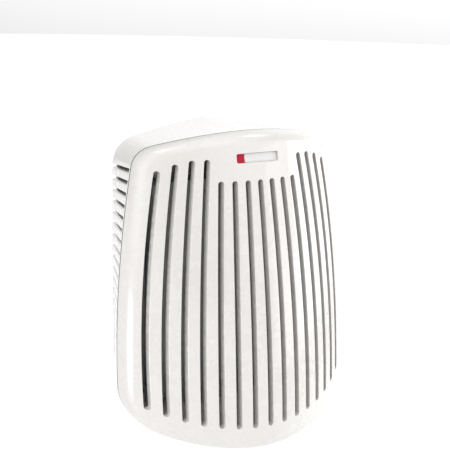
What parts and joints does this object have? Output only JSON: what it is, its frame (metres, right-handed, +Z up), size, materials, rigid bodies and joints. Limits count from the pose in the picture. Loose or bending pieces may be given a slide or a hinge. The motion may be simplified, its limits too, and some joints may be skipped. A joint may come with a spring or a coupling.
{
  "type": "plug-mount fan air cleaner",
  "caption": "Direct plug-in household air cleaner: louvred housing, curved slotted cover with a filter-life window, carbon cassette and a small motor-driven fan.",
  "frame": {"origin": "centre of the plug between its two blades, on the plane of the back face that rests on the wall plate", "axes": "+Z up, +Y into the wall along the blades, +X to the right for someone facing the front; the front faces -Y"},
  "size_m": [0.1364, 0.1074, 0.163],
  "materials": {
    "shell_plastic": "satin moulded",
    "inner_plastic": "matte moulded",
    "clear_plastic": "clear",
    "card_white": "printed card",
    "card_red": "dyed card",
    "carbon": "carbon-coated fibre",
    "screen_mesh": "woven",
    "foam": "open-cell foam",
    "rubber": "matte",
    "steel": "zinc plated",
    "brass": "nickel-free plug brass",
    "bronze": "sintered",
    "lamination": "varnished laminations",
    "copper": "enamelled wire",
    "wire_white": "insulation",
    "wire_black": "insulation",
    "wire_red": "insulation",
    "grey_plastic": "moulded",
    "blue_case": "moulded case"
  },
  "bodies": {
    "housing": {"rear_housing": "shell_plastic", "intake_deck": "grey_plastic", "deck_gasket": "foam", "deck_screws": "steel", "wall_bumpers": "rubber", "plug_insert": "inner_plastic", "neutral_blade": "brass", "line_blade": "brass", "plug_screws": "steel", "neutral_terminal": "brass", "line_terminal": "brass", "neutral_lead": "wire_white", "line_lead": "wire_black", "motor_lead": "wire_red", "thermal_fuse": "wire_white", "speed_switch": "grey_plastic", "speed_capacitor": "blue_case", "stator_core": "lamination", "coil_bobbin": "inner_plastic", "motor_winding": "copper", "shading_rings": "copper", "front_bracket": "steel", "rear_bracket": "steel", "front_bush": "bronze", "rear_bush": "bronze", "motor_screws": "steel"},
    "cover": {"front_cover": "shell_plastic", "window_lens": "clear_plastic", "indicator_card": "card_white", "indicator_dye": "card_red", "strip_carrier": "inner_plastic"},
    "filter": {"filter_frame": "grey_plastic", "carbon_media": "carbon", "dust_screen": "screen_mesh", "filter_pull_tab": "inner_plastic"},
    "fan": {"rotor_core": "lamination", "motor_shaft": "steel", "impeller": "inner_plastic", "impeller_clip": "steel"},
    "switch_button": {"switch_knob": "grey_plastic"}
  },
  "joints": [
    {"name": "cover_slide", "type": "slide", "parent": "housing", "child": "cover", "axis": [0, -1, 0], "range_m": [0, 0.12]},
    {"name": "filter_slide", "type": "slide", "parent": "housing", "child": "filter", "axis": [0, -1, 0], "range_m": [0, 0.06]},
    {"name": "fan_spin", "type": "hinge", "parent": "housing", "child": "fan", "pos_m": [0, -0.03, -0.058], "axis": [0, 1, 0], "continuous": true},
    {"name": "speed_switch_slide", "type": "slide", "parent": "housing", "child": "switch_button", "axis": [1, 0, 0], "range_m": [0, 0.01]}
  ],
  "couplings": [
    {"joint": "filter_slide", "follows": "cover_slide", "ratio": 0.5}
  ]
}
